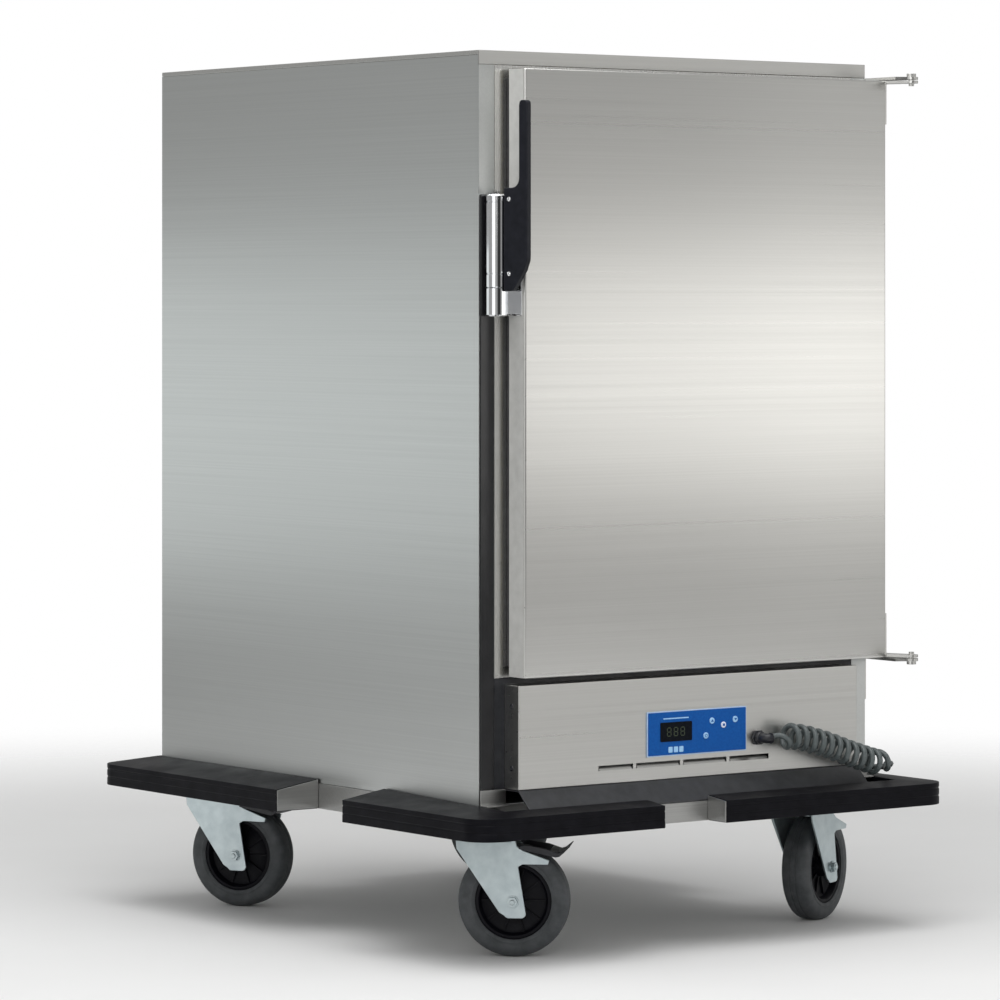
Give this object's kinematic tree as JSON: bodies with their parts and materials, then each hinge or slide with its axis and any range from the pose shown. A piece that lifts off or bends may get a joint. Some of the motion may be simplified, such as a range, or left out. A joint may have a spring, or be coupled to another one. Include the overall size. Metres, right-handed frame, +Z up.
{
  "type": "insulated food carrier",
  "caption": "Heated, insulated steel cabinet on swivel castors, with one hinged door, a barrel latch, corner bumpers and a spiral mains cord.",
  "frame": {"origin": "on the floor, under the middle of the bumper ring", "axes": "+Z up, the door faces -Y, +X towards the hinge side, right as seen from the front"},
  "size_m": [0.872, 1.008, 1.2914],
  "materials": {
    "brushed_steel": "satin",
    "liner_steel": "satin",
    "chrome": "polished",
    "zinc": "satin",
    "black_plastic": "satin",
    "bumper": "satin",
    "tyre": "matte",
    "rim": "satin",
    "foam": "matte",
    "seal": "matte",
    "panel_blue": "satin",
    "display": "gloss",
    "key": "satin",
    "cord": "satin"
  },
  "bodies": {
    "carcass": {"side_panel_left": "brushed_steel", "side_panel_right": "brushed_steel", "back_panel": "brushed_steel", "top_panel": "brushed_steel", "floor_panel": "brushed_steel", "door_frame": "brushed_steel", "bay_frame": "black_plastic", "inner_liner": "liner_steel", "insulation": "foam", "pan_rack_left": "liner_steel", "pan_rack_right": "liner_steel", "chassis_frame": "brushed_steel", "front_apron": "black_plastic", "bumper_front_left": "bumper", "bumper_front_right": "bumper", "bumper_rear_left": "bumper", "bumper_rear_right": "bumper", "control_housing": "brushed_steel", "control_panel": "panel_blue", "display_window": "display", "cable_gland": "black_plastic", "heater_tray": "brushed_steel", "heating_element": "liner_steel", "fan_motor": "black_plastic", "hinge_arm_upper": "brushed_steel", "hinge_arm_lower": "brushed_steel", "stile_trim": "black_plastic", "push_handle": "chrome", "cord_coil": "cord", "cord_tail": "cord", "mains_plug": "black_plastic"},
    "door": {"door_skin": "brushed_steel", "door_insulation": "foam", "door_liner": "liner_steel", "door_gasket": "seal", "hinge_leaf_upper": "brushed_steel", "hinge_leaf_lower": "brushed_steel", "latch_bracket": "chrome"},
    "latch": {"latch_barrel": "chrome", "latch_lever": "black_plastic"},
    "fan": {"fan_wheel": "brushed_steel"},
    "key_up_body": {"key_up": "key"},
    "key_down_body": {"key_down": "key"},
    "key_set_body": {"key_set": "key"},
    "key_power_body": {"key_power": "key"},
    "castor_front_left": {"castor_fork_front_left": "zinc"},
    "wheel_front_left": {"castor_rim_front_left": "rim", "castor_tyre_front_left": "tyre"},
    "brake_front_left": {"brake_pedal_front_left": "black_plastic"},
    "castor_rear_left": {"castor_fork_rear_left": "zinc"},
    "wheel_rear_left": {"castor_rim_rear_left": "rim", "castor_tyre_rear_left": "tyre"},
    "brake_rear_left": {"brake_pedal_rear_left": "black_plastic"},
    "castor_front_right": {"castor_fork_front_right": "zinc"},
    "wheel_front_right": {"castor_rim_front_right": "rim", "castor_tyre_front_right": "tyre"},
    "castor_rear_right": {"castor_fork_rear_right": "zinc"},
    "wheel_rear_right": {"castor_rim_rear_right": "rim", "castor_tyre_rear_right": "tyre"}
  },
  "joints": [
    {"name": "door_hinge", "type": "hinge", "parent": "carcass", "child": "door", "pos_m": [0.387, -0.472, 0.8], "axis": [0, 0, 1], "range_deg": [0, 270]},
    {"name": "latch_turn", "type": "hinge", "parent": "door", "child": "latch", "pos_m": [-0.3422, -0.4165, 1], "axis": [0, 0, 1], "range_deg": [-90, 0]},
    {"name": "fan_spin", "type": "hinge", "parent": "carcass", "child": "fan", "pos_m": [0.15, -0.06, 0.32], "axis": [0, 0, 1], "continuous": true},
    {"name": "key_up_press", "type": "slide", "parent": "carcass", "child": "key_up_body", "axis": [0, 1, 0], "range_m": [0, 0.0008], "stiffness_N_per_m": 400},
    {"name": "key_down_press", "type": "slide", "parent": "carcass", "child": "key_down_body", "axis": [0, 1, 0], "range_m": [0, 0.0008], "stiffness_N_per_m": 400},
    {"name": "key_set_press", "type": "slide", "parent": "carcass", "child": "key_set_body", "axis": [0, 1, 0], "range_m": [0, 0.0008], "stiffness_N_per_m": 400},
    {"name": "key_power_press", "type": "slide", "parent": "carcass", "child": "key_power_body", "axis": [0, 1, 0], "range_m": [0, 0.0008], "stiffness_N_per_m": 400},
    {"name": "swivel_front_left", "type": "hinge", "parent": "carcass", "child": "castor_front_left", "pos_m": [-0.297, -0.3275, 0.17], "axis": [0, 0, 1], "continuous": true},
    {"name": "roll_front_left", "type": "hinge", "parent": "castor_front_left", "child": "wheel_front_left", "pos_m": [-0.26579, -0.3556, 0.08], "axis": [0.6691, 0.7431, 0], "continuous": true},
    {"name": "brake_front_left", "type": "hinge", "parent": "castor_front_left", "child": "brake_front_left", "pos_m": [-0.25538, -0.36497, 0.1515], "axis": [0.6691, 0.7431, 0], "range_deg": [0, 8]},
    {"name": "swivel_rear_left", "type": "hinge", "parent": "carcass", "child": "castor_rear_left", "pos_m": [-0.297, 0.3725, 0.17], "axis": [0, 0, 1], "continuous": true},
    {"name": "roll_rear_left", "type": "hinge", "parent": "castor_rear_left", "child": "wheel_rear_left", "pos_m": [-0.27505, 0.33669, 0.08], "axis": [0.8526, 0.5225, 0], "continuous": true},
    {"name": "brake_rear_left", "type": "hinge", "parent": "castor_rear_left", "child": "brake_rear_left", "pos_m": [-0.26774, 0.32475, 0.1515], "axis": [0.8526, 0.5225, 0], "range_deg": [0, 8]},
    {"name": "swivel_front_right", "type": "hinge", "parent": "carcass", "child": "castor_front_right", "pos_m": [0.297, -0.3275, 0.17], "axis": [0, 0, 1], "continuous": true},
    {"name": "roll_front_right", "type": "hinge", "parent": "castor_front_right", "child": "wheel_front_right", "pos_m": [0.33507, -0.30975, 0.08], "axis": [-0.4226, 0.9063, 0], "continuous": true},
    {"name": "swivel_rear_right", "type": "hinge", "parent": "carcass", "child": "castor_rear_right", "pos_m": [0.297, 0.3725, 0.17], "axis": [0, 0, 1], "continuous": true},
    {"name": "roll_rear_right", "type": "hinge", "parent": "castor_rear_right", "child": "wheel_rear_right", "pos_m": [0.26324, 0.39748, 0.08], "axis": [-0.5948, -0.8039, 0], "continuous": true}
  ]
}
